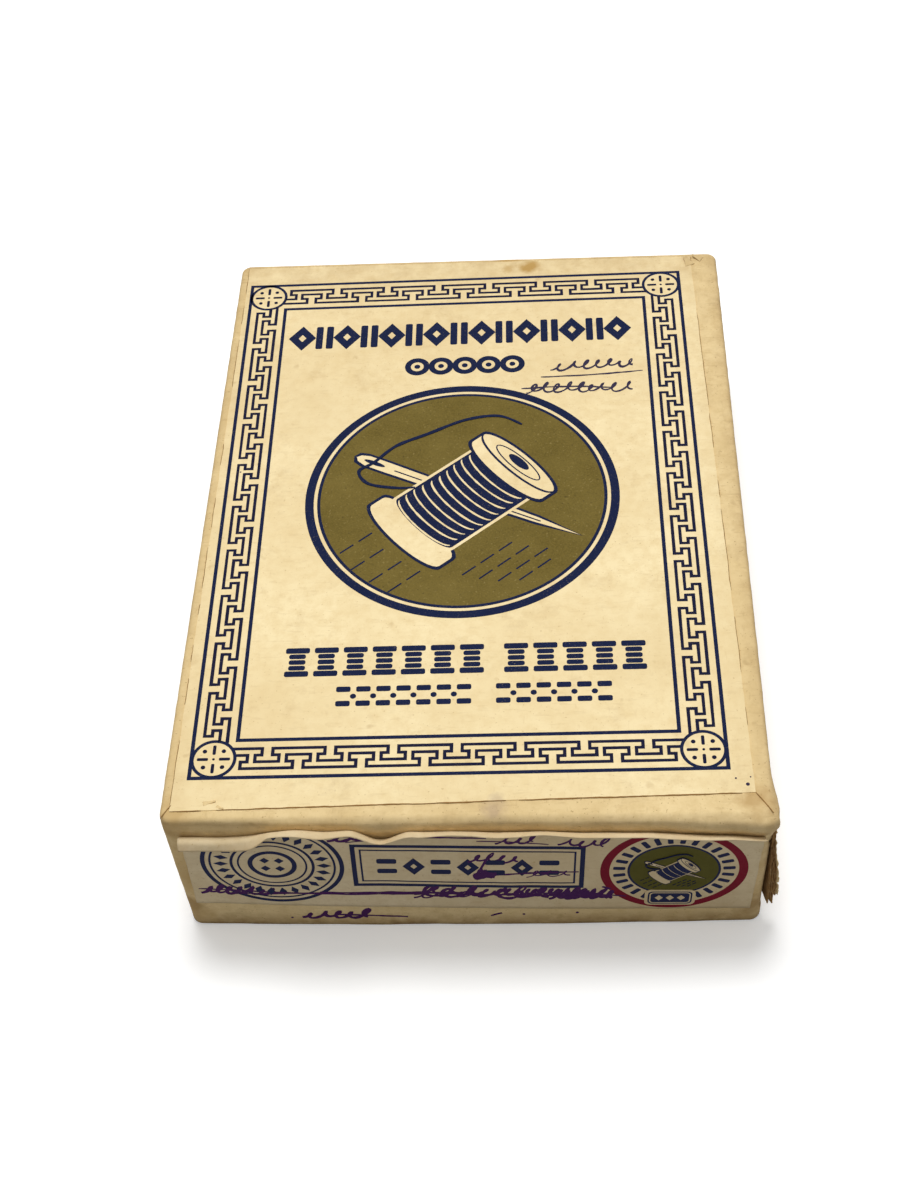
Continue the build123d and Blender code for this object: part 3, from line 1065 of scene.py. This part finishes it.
def ornament_bands():
    """Rows of plain needlework ornament where a carton carries its wording."""
    bands = Print()
    # bold row: lozenges with open hearts between pairs of upright stitches
    count, left, right, middle = 15, -30.4, 28.9, 41.9
    for k in range(count):
        x = left + k * (right - left) / (count - 1)
        if k % 2:
            for dx in (-0.98, 0.98):
                bands.polygon(rounded_bar(1.3, 6.1, 0.3, (x + dx, middle)))
        else:
            bands.open_lozenge((x, middle), (5.2, 6.7), (1.5, 2.0))
    # buttons
    for k in range(5):
        button = (0.4 + (k - 2) * 4.4, 33.1)
        bands.ring(button, 1.2, 2.3, 30)
        bands.disc(button, 0.55, 14)
    # a dozen spools, in two lengths
    for start, spools in ((-26.0, 7), (9.3, 5)):
        for k in range(spools):
            little_spool(bands, start + k * 4.7, -35.3, 3.9, 5.8)
    # running stitch, in two lengths
    for start, links in ((-18.2, 7), (7.2, 6)):
        for k in range(links):
            x, y = start + k * 3.2, -42.3
            bands.bars((x, y), 2.3, 1.05, 0.3, 1.4)
            if k < links - 1:
                bands.disc((x + 1.6, y), 0.5, 12)
    bands.lay("lid_print_ornament_bands", on_art, navy, "lid")


border()
medallion()
sewing_sign("lid_print_sign", MEDALLION, 1.0, on_art, navy, label_paper, base=0.03)
ornament_bands()


# ---------------------------------------------------------------- pen marks

HEAVY, MIDDLING, FINE = 0.62, 0.42, 0.28  # widths of pen line
CLOSE = 0.8  # between points on the end wall's uneven papers


def scrawl(start, end, height, loops, seed):
    """An unreadable run of pen loops between two points."""
    random = Random(seed)
    sizes = [0.45 + 0.55 * random.random() for _ in range(loops + 1)]
    gaps = [random.uniform(-0.25, 0.25) for _ in range(loops + 1)]
    steps = 14  # to a loop
    lean, slant = 0.378, 0.5
    path = []
    for i in range(loops * steps + 1):
        t = i / steps
        k = min(int(t), loops - 1)
        f = t - k
        size = sizes[k] * (1 - f) + sizes[k + 1] * f
        gap = gaps[k] * (1 - f) + gaps[k + 1] * f
        a = 2 * pi * t
        along = (t + gap + lean * size * sin(a)) / loops
        up = height * size * (0.5 - 0.5 * cos(a)) + 0.12 * height * sin(a * 0.37 + seed)
        x = start[0] + (end[0] - start[0]) * along + slant * up
        y = start[1] + (end[1] - start[1]) * along + up
        path.append((x, y))
    return path


def dense(path, step):
    """The same path with points no further apart than step, to follow a curved sheet."""
    result = []
    for a, b in zip(path, path[1:]):
        pieces = max(1, ceil(distance(a, b) / step))
        result += [tuple(a[k] + (b[k] - a[k]) * i / pieces for k in (0, 1)) for i in range(pieces)]
    return result + [path[-1]]


class Pen(Print):
    """Pen marks; step is how close their points are where they follow a curved sheet."""

    def __init__(self, step=None):
        super().__init__()
        self.step = step

    def mark(self, path, width, taper=0.0):
        self.line(dense(path, self.step) if self.step else path, width, uneven=0.6, taper=taper)

    def loops(self, start, end, height, count, seed, width):
        self.mark(scrawl(start, end, height, count, seed), width)

    def dash(self, start, end, bow, seed, width, taper=0.4):
        self.mark(stroke(start, end, bow, seed), width, taper)


def lid_pen():
    """Two lines of pen loops at the lid's upper right, underlined, and specks of ink."""
    pen, specks = Pen(), Print()
    pen.loops((16.4, 31.0), (31.6, 31.8), 2.7, 7, 3, 0.42)
    pen.dash((14.4, 29.3), (33.0, 30.3), -0.25, 1.0, 0.36, 0.5)
    pen.loops((11.4, 25.4), (30.4, 25.2), 2.5, 9, 5, 0.4)
    pen.dash((10.8, 26.4), (27.6, 26.0), 0.4, 2.0, 0.36, 0.5)
    pen.lay("lid_pen_marks", on_art, pen_grey, "lid")
    corner = ((42.6, -58.9, 0.3), (40.9, -57.8, 0.16), (43.1, -57.6, 0.12))
    for x, y, radius in (*corner, (36.2, -20.5, 0.2), (-41.0, 8.0, 0.15)):
        specks.disc((x, y), radius, 10)
    specks.lay("lid_ink_specks", on_lid, pen_grey, "lid")


lid_pen()


# ---------------------------------------------------------------- end label

END_TILT = radians(1.8)
end_low, end_high = box_mm("lid_end_label")
end_across, end_up = end_high.x - end_low.x, end_high.z - end_low.z
END_LENGTH = (end_across * cos(END_TILT) - end_up * sin(END_TILT)) / cos(2 * END_TILT)
END_HEIGHT = (end_up * cos(END_TILT) - end_across * sin(END_TILT)) / cos(2 * END_TILT)
END_BASE = end_low.z + END_LENGTH / 2 * sin(END_TILT)
END_CLEAR = 0.02  # of the end label over the cover
LOOSE_FROM = 24.0  # height from which the cover hangs loose and the label doesn't follow it
LEFT_SEAL, RIGHT_SEAL = (-30.9, 12.4), (31.5, 11.8)


def end_top(u):
    """Height of the end label's torn upper edge above its lower edge, along the sheet."""
    dip = 2.6 * smoothstep(abs(u + 13.5), 5.0, 0.0) - 0.5 * smoothstep(abs(u + 26.0), 5.0, 0.0)
    fall = 2.0 * smoothstep(u, -24.0, -40.0) + 0.8 * smoothstep(u, 22, 44)
    return END_HEIGHT + 2.1 + 0.3 * wave(u, 0, 0, 7, 1.0) - dip - fall


def end_curl(u):
    """Where the label leaves the wall, its curvature there, and how far it turns."""
    rolled = smoothstep(u, -30.0, -34.5)
    flat = end_top(u) - 3.4 - 0.5 * smoothstep(abs(u + 24), 8, 0)
    bend = 0.4 + 0.08 * wave(u, 0, 0, 7, 6.0) + 0.7 * rolled
    turn = radians(80 + 16 * wave(u, 0, 0, 6, 2.0) + 66 * rolled - 22 * smoothstep(u, 34, 44))
    return flat, bend, turn


def end_section(u, v):
    """Distance from the wall, height and facing angle of the sheet at a point of it."""
    flat, bend, turn = end_curl(u)
    if v <= flat:
        return 0.0, v, 0.0
    run = v - flat
    beyond = max(run - turn / bend, 0.0)
    a = min(run * bend, turn)
    out = (1 - cos(a)) / bend + beyond * sin(turn)
    return out, flat + (sin(a) / bend + beyond * cos(turn)), a


def front_wall(x, z):
    """How far the lid's cover stands out from the end wall at a place on it."""
    return LID_FRONT - lid_shape(x, LID_FRONT, z, 0, -1, 0)[1]


def on_end(u, v, h):
    """A place h above the end label's printed side."""
    out, up, facing = end_section(u, v)
    away = out + (PAPER + h) * cos(facing)
    up -= (PAPER + h) * sin(facing)
    x = u * cos(END_TILT) + up * sin(END_TILT)
    z = END_BASE - u * sin(END_TILT) + up * cos(END_TILT)
    wall = front_wall(x, min(z, LOOSE_FROM)) + END_CLEAR
    return (x, LID_FRONT - wall - away, z)


def end_label():
    """The sheet: a close grid, so that its curl and rolled corner are round."""
    across, up = 300, 70

    def place(i, j):
        u = -END_LENGTH / 2 + END_LENGTH * i / across
        low = 0.12 * wave(u, 0, 0, 4, 9.0)
        v = low + (end_top(u) - low) * (j / up) ** 0.8
        if i in (0, across):
            u += 0.12 * wave(0, v, 0, 2.5, 3.0)
        return on_end(u, v, 0.0)

    piece = lid_sheet("lid_end_label_paper", place, across, up, end_paper, PAPER, smooth=True)
    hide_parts("lid_end_label")


def round_of(shapes, outline, count, radius, centre, start=0.0, sweep=2 * pi):
    """Copies of an outline set round a centre, each turned to face outward."""
    for k in range(count):
        a = start + sweep * k / count
        place = (centre[0] + radius * cos(a), centre[1] + radius * sin(a))
        shapes.polygon(turned(outline, a, place))


def end_artwork():
    """Two round seals and a double-ruled panel, filled with ornament."""
    blue, red, green = Print(), Print(), Print()
    # the left seal: rings, a round of lozenges and a sewing button
    for inner, outer in ((10.55, 11.25), (9.6, 9.95), (6.2, 6.65), (5.2, 5.5)):
        blue.ring(LEFT_SEAL, inner, outer)
    round_of(blue, lozenge((0, 0), 2.3, 1.25), 26, 8.1, LEFT_SEAL)
    blue.ring(LEFT_SEAL, 3.1, 3.85, 48)
    round_of(blue, rectangle((0, 0), 1.1, 1.1), 4, 1.6, LEFT_SEAL, start=pi / 4)
    # the panel: two rules round lozenges and pairs of bars
    left, right, low, high = -18.1, 17.3, 6.9, 18.1
    middle = ((left + right) / 2, (low + high) / 2)
    for inset, thickness in ((0.0, 0.75), (1.15, 0.3)):
        outline = rectangle(middle, right - left - 2 * inset, high - low - 2 * inset)
        blue.line(dense(outline + outline[:1], CLOSE)[:-1], thickness, closed=True)
    for k in range(7):
        place = (middle[0] - 12.6 + 4.2 * k, middle[1])
        if k % 2:
            blue.open_lozenge(place, (3.5, 4.8), (1.1, 1.5))
        else:
            blue.bars(place, 3.1, 1.3, 0.35, 1.4)
    # the right seal: a crimson ring, a round of ticks and the sign on its disc
    red.ring(RIGHT_SEAL, 10.0, 11.4, 110, bands=2)
    ticks = {"start": -pi / 2 + 0.52, "sweep": 2 * pi - 0.78}  # leaving room for the plaque
    round_of(blue, rounded_bar(1.9, 0.85, 0.25), 24, 8.5, RIGHT_SEAL, **ticks)
    green.ring(RIGHT_SEAL, 0.02, 7.0, 72, bands=9)
    blue.ring(RIGHT_SEAL, 6.85, 7.2, 72)
    green.lay("end_print_olive_disc", on_end, olive, "lid", height=0.012)
    red.lay("end_print_crimson_ring", on_end, crimson, "lid")
    blue.lay("end_print_blue", on_end, navy_end, "lid")
    sewing_sign("end_print_sign", RIGHT_SEAL, 0.245, on_end, navy_end, end_paper, base=0.09)
    # a little plaque under the disc, with three stitched lozenges
    plaque = Stack()
    seat = (RIGHT_SEAL[0] - 0.1, RIGHT_SEAL[1] - 8.1)
    plaque.on(end_paper).polygon(rounded_bar(8.0, 4.4, 1.0, seat))
    plaque.on(navy_end).polygon(rounded_bar(7.0, 3.7, 0.8, seat))
    plaque.on(end_paper).line(rounded_bar(6.3, 3.0, 0.6, seat), 0.2, closed=True)
    for dx in (-1.75, 0, 1.75):
        plaque.on(end_paper).polygon(lozenge((seat[0] + dx, seat[1]), 1.3, 1.5))
    plaque.lay("end_print_plaque", on_end, "lid", "label_paper", base=0.15)


def end_pen():
    """Unreadable pen notes and crossings-out along the end label."""
    pen = Pen(CLOSE)
    # crossed out along the foot
    pen.loops((-43.2, 3.6), (-31.5, 3.2), 2.4, 7, 11, HEAVY)
    pen.dash((-43.5, 4.6), (-8.0, 4.2), -0.5, 1.0, MIDDLING)
    pen.dash((-38.0, 3.2), (-2.0, 4.8), 0.3, 4.0, MIDDLING)
    pen.dash((-24.0, 4.4), (22.0, 4.0), 0.2, 5.0, MIDDLING)
    pen.loops((-10.0, 3.8), (12.5, 3.4), 3.0, 6, 20, HEAVY)
    pen.loops((-7.0, 4.8), (13.5, 4.0), 2.6, 8, 21, MIDDLING)
    pen.loops((-9.0, 3.0), (9.5, 4.4), 2.2, 10, 22, MIDDLING)
    for k in range(4):
        pen.loops((12.6, 3.2 + 0.5 * k), (22.0, 3.5 + 0.2 * k), 2.0, 7, 31 + k, HEAVY)
    pen.dash((9.0, 4.9), (24.5, 4.0), 0.3, 7.0, MIDDLING)
    pen.dash((20.6, 6.9), (22.0, 6.2), 0.0, 3.0, MIDDLING)
    # notes above the panel
    pen.loops((-22.0, 19.4), (-12.5, 19.8), 2.2, 4, 41, HEAVY)
    pen.dash((-23.0, 20.6), (2.5, 20.6), 0.2, 9.0, MIDDLING)
    pen.dash((-19.0, 19.0), (-10.0, 20.4), 0.2, 9.5, FINE)
    pen.loops((4.0, 18.9), (9.6, 19.6), 2.6, 3, 51, MIDDLING)
    pen.dash((1.0, 19.8), (12.0, 19.0), 0.2, 12.0, FINE)
    pen.loops((13.5, 18.8), (20.8, 18.6), 2.4, 4, 57, MIDDLING)
    # notes over the panel
    pen.loops((-0.5, 14.4), (7.4, 14.0), 2.4, 4, 61, MIDDLING)
    pen.dash((1.4, 11.6), (3.0, 16.2), 0.0, 13.0, MIDDLING)
    for k in range(4):
        pen.loops((0.4, 9.2 + 0.5 * k), (3.6, 9.9), 1.6, 4, 71 + k, HEAVY)
    pen.dash((3.0, 10.2), (16.8, 11.4), 0.2, 8.0, MIDDLING)
    pen.loops((8.4, 9.8), (15.2, 10.4), 2.2, 3, 81, FINE)
    pen.lay("end_pen_marks", on_end, pen_violet, "lid")


def on_front(x, z, h):
    """A place h above the cover paper of the lid's front wall."""
    return (x, LID_FRONT - front_wall(x, z) - h, z)


def wall_pen():
    """A run of loops, a short stroke and three dots on the cover below the end label."""
    pen = Pen(CLOSE)
    pen.loops((-28.0, 2.6), (-17.0, 2.4), 2.6, 5, 91, HEAVY)
    pen.dash((-22.0, 3.4), (-10.5, 2.6), 0.1, 6.0, MIDDLING, 0.0)
    pen.mark(stroke((3.0, 3.0), (4.8, 3.8), 0.1, 6.5, 8), 0.34)
    for dot, radius in (((-29.4, 2.5), 0.22), ((8.3, 3.3), 0.24), ((16.9, 3.7), 0.26)):
        pen.disc(dot, radius, 10)
    pen.lay("lid_wall_pen_marks", on_front, pen_violet, "lid", height=0.03, sink=0.03)


end_label()
end_artwork()
end_pen()
wall_pen()


# ---------------------------------------------------------------- wear

LEAVES = 5  # of the split corner
PLY_THICKNESS, CHIP_THICKNESS = 0.16, 0.08


def torn_plies():
    """Ragged plies standing off the split corner, furthest near its foot."""
    rows, columns = 60, 8
    for leaf in range(LEAVES):
        random = Random(100 + leaf)
        low, high = 5.2 + random.uniform(-0.5, 1.8), 27.4 - random.uniform(0, 2.5)
        depth = 3.4 - 0.3 * leaf + random.uniform(-0.3, 0.3)

        def place(i, j):
            z, t = low + (high - low) * j / rows, i / columns
            ragged = 0.5 * wave(0, leaf * 3.0, z, 1.7) + 0.35 * wave(0, leaf * 5.0, z, 0.5)
            stand = 0.3 + 1.75 * smoothstep(z, 27.0, 7.0) + 0.35 * wave(0, 0, z, 1.5, leaf)
            y = LID_FRONT + 0.1 + leaf * 0.12 + depth * t + ragged * (1 - t)
            x = LID_RIGHT - 0.14 + 0.07 * leaf + stand * (0.4 + 0.15 * leaf) * (1 - t) ** 1.3
            return (x + 0.05 * wave(0, y, z, 0.8, leaf), y, z)

        outermost = leaf == LEAVES - 1
        sheet = (f"lid_torn_ply_{leaf + 1}", place, columns, rows, wrap_paper if outermost else ply)
        piece = lid_sheet(*sheet, PLY_THICKNESS, offset=1, smooth=True)


def lifted_chips():
    """Small flakes of paper lifted along the lid's edges."""
    steps = 8
    chips = (  # centre, length, width, rise, turn
        ((-39.8, -61.4), 2.0, 0.8, 0.25, 10),
        ((-37.6, -61.9), 1.2, 0.6, 0.2, -24),
        ((41.3, 60.6), 2.4, 2.0, 0.7, 118),
        ((43.5, 62.2), 2.0, 1.2, 0.5, 150),
    )
    for index, (centre, length, width, rise, turn) in enumerate(chips):

        def place(i, j):
            s, t = i / steps, j / steps
            half = width / 2 * (1 - 0.75 * s) * (1 + 0.3 * wave(s, t, index, 0.3))
            (x, y), = turned([(length * s, (t - 0.5) * 2 * half)], radians(turn), centre)
            return (x, y, LID_TOP + 0.13 + rise * s * s + 0.03 * wave(x, y, 0, 0.5))

        sheet = (f"lid_lifted_chip_{index + 1}", place, steps, steps, wrap_paper)
        piece = lid_sheet(*sheet, CHIP_THICKNESS, smooth=True)


torn_plies()
lifted_chips()


# ---------------------------------------------------------------- spools

STRAND = 0.28  # diameter of the thread
BARREL_RADIUS = 6.0
SPOOL_LABEL = 0.1  # thickness of the end labels
SPOOL_STEPS = 72
GROOVE_SAMPLES = 3  # to a turn of thread


def wind(name, profile, centre):
    """Turn a closed (radius, along) profile about a spool's axis, a little uneven."""
    points = []
    for i in range(SPOOL_STEPS):
        a = 2 * pi * i / SPOOL_STEPS
        for r, along in profile:
            r += 0.02 * wave(3 * cos(a), 3 * sin(a), along, 1.6, centre.x)
            points.append((centre.x + r * cos(a), centre.y + along, centre.z + r * sin(a)))
    faces = grid_faces(SPOOL_STEPS, len(profile), rows_closed=True, columns_closed=True)
    winding = make_mesh(f"{name}_winding", points, faces, thread, name, smooth=True)
    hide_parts(f"{name}_thread")


def winding_profile(outer, half_low, half_high):
    """Side by side turns of thread from cone to cone, on a solid body down to the barrel."""
    samples = GROOVE_SAMPLES * round(2 * half_high / STRAND)
    profile = []
    for k in range(samples + 1):
        along = -half_high + 2 * half_high * k / samples
        shoulder = smoothstep(half_high - abs(along), 1.3, 0.0)
        groove = STRAND * 0.32 * (0.5 + 0.5 * cos(2 * pi * k / GROOVE_SAMPLES))
        profile.append((outer - 0.75 * shoulder**2 - groove, along))
    return profile + [(BARREL_RADIUS, half_low), (BARREL_RADIUS, -half_low)]


def spool_print(name, centre, half):
    """Two rings and a round of ticks printed on both end labels."""
    marks = Print()
    for inner, outer in ((8.55, 8.85), (5.4, 5.6)):
        marks.ring((0, 0), inner, outer, 60)
    round_of(marks, lozenge((0, 0), 1.9, 0.8), 16, 7.0, (0, 0))
    for side, end in ((-1, "front"), (1, "back")):

        def on_spool(x, y, h):
            return (centre.x + x * -side, centre.y + side * (half + h), centre.z + y)

        marks.lay(f"{name}_{end}_print", on_spool, navy_fine, name)


def tail(name, centre, outer, rim, half):
    """The thread's end, led up from the winding and pinched through the rim's slit."""
    path = [
        (1.6, half - 4.2, outer - 0.1),
        (0.7, half - 3.0, outer + 0.35),
        (0.1, half - 2.5, rim - 1.5),
        (0.0, half - 1.2, rim - 1.7),
        (0.0, half + 0.1, rim - 1.75),
    ]
    line = [Vector(p) for p in smooth_curve(path, 6)]
    last, sides = len(line) - 1, 8
    points = []
    for i, p in enumerate(line):
        ahead = line[min(i + 1, last)] - line[max(i - 1, 0)]
        across = ahead.cross(Vector((0, 0, 1))).normalized()
        up = across.cross(ahead).normalized()
        for k in range(sides):
            a = 2 * pi * k / sides
            q = p + (across * cos(a) + up * sin(a)) * STRAND / 2
            points.append((centre.x + q.x, centre.y - q.y, centre.z + q.z))
    faces = grid_faces(len(line), sides, columns_closed=True)
    faces += [tuple(range(sides))[::-1], tuple(range(last * sides, len(line) * sides))]
    make_mesh(f"{name}_tail", points, faces, thread, name, smooth=True)


def dress_spool(name):
    """Wind a spool with thread, and print its end labels."""
    core_low, core_high = box_mm(f"{name}_core")
    thread_low, thread_high = box_mm(f"{name}_thread")
    centre = (core_low + core_high) / 2
    half = (core_high.y - core_low.y) / 2
    rim = (core_high.z - core_low.z) / 2
    outer = (thread_high.z - thread_low.z) / 2
    wound = (thread_high.y - thread_low.y) / 2
    wind(name, winding_profile(outer, min(wound, 8.1), wound - 0.35), centre)
    for end in ("front", "back"):
        refinish(f"{name}_{end}_label", spool_paper)
    spool_print(name, centre, half + SPOOL_LABEL)
    tail(name, centre, outer, rim, half)


for body_name in sorted(frame["bodies"]):
    if body_name.startswith("spool_"):
        dress_spool(body_name)


# ---------------------------------------------------------------- stage

FLOOR_BOUNCE = 0.4  # how much light the floor throws back
FLOOR_SEEN = 0.97  # how pale the camera sees it
FLOOR_GLOW = 0.22  # softens the shadow that the camera sees on it
FAR_GLOW = 0.8  # keeps it white to the horizon
GLOW_RISE = (0.2, 0.9)  # from the one to the other, in metres from the object
FLOOR_HALF = 4000
DOME_HORIZON, DOME_ZENITH = 0.27, 0.44
LAMP_PLACE, LAMP_AIM = Vector((-0.05, 0.28, 1.3)), Vector((0, 0, 0.02))  # metres
LAMP_SIZE, LAMP_POWER = 0.5, 10.3
CAMERA_PLACE = Vector((14.57, -206.55, 255.14))
AZIMUTH, ELEVATION, ROLL = radians(-5.5), radians(50.39), radians(-5.227)
LENS, SENSOR = 52.9, 36.0


def stage_floor():
    """A wide pale floor, white to the camera, that keeps the object's soft shadow."""
    s = Surface("floor_paint", 0.9, specular=0.05)
    seen = s.seen_directly()
    s.color(s.mix(seen, (FLOOR_BOUNCE,) * 3, (FLOOR_SEEN,) * 3))
    s.shader.inputs["Emission Color"].default_value = (1, 1, 0.98, 1)
    away = s.node("ShaderNodeVectorMath", {0: s.place}, operation="LENGTH").outputs["Value"]
    glow = s.times(seen, s.span(away, *GLOW_RISE, FLOOR_GLOW, FAR_GLOW))
    s.tree.links.new(glow, s.shader.inputs["Emission Strength"])
    corners = [(x, y, -0.02) for x, y in rectangle((0, 0), 2 * FLOOR_HALF, 2 * FLOOR_HALF)]
    make_mesh("floor", corners, [(0, 1, 2, 3)], s.material)


def stage_world():
    """A soft surround, brightest overhead as a light and plain white as a background."""
    world = bpy.data.worlds.new("surround")
    bpy.context.scene.world = world
    world.use_nodes = True
    sky = Nodes(world.node_tree)
    background = sky.tree.nodes["Background"]
    background.inputs["Color"].default_value = (1, 1, 1, 1)
    seen = sky.seen_directly()
    direction = sky.node("ShaderNodeTexCoord").outputs["Generated"]
    height = sky.node("ShaderNodeSeparateXYZ", {0: direction}).outputs["Z"]
    dome = sky.math("ADD", sky.times(sky.times(height, height), DOME_ZENITH), DOME_HORIZON)
    as_light = sky.times(dome, sky.math("SUBTRACT", 1.0, seen))
    sky.tree.links.new(sky.math("ADD", as_light, seen), background.inputs["Strength"])


def key_light():
    """A broad round lamp high over the back of the lid."""
    light = bpy.data.lights.new("key", "AREA")
    light.shape = "DISK"
    light.size = LAMP_SIZE
    light.energy = LAMP_POWER
    lamp = bpy.data.objects.new("key", light)
    bpy.context.scene.collection.objects.link(lamp)
    lamp.location = LAMP_PLACE
    lamp.rotation_mode = "QUATERNION"
    lamp.rotation_quaternion = (LAMP_AIM - LAMP_PLACE).to_track_quat("-Z", "Y")


def stage_camera():
    """Looking down on the lid from in front, a little from the right and rolled."""
    flat = cos(ELEVATION)
    ahead = Vector((sin(AZIMUTH) * flat, cos(AZIMUTH) * flat, -sin(ELEVATION)))
    level = ahead.cross(Vector((0, 0, 1))).normalized()
    right = level * cos(ROLL) + level.cross(ahead) * sin(ROLL)
    data = bpy.data.cameras.new("camera")
    data.sensor_width = SENSOR
    data.lens = LENS
    data.clip_start = 0.01
    camera = bpy.data.objects.new("camera", data)
    bpy.context.scene.collection.objects.link(camera)
    turn = Matrix((right, right.cross(ahead), -ahead)).transposed()
    camera.matrix_world = Matrix.Translation(CAMERA_PLACE * MM) @ turn.to_4x4()
    bpy.context.scene.camera = camera


stage_floor()
stage_world()
key_light()
stage_camera()
bpy.context.scene.view_settings.view_transform = "Standard"
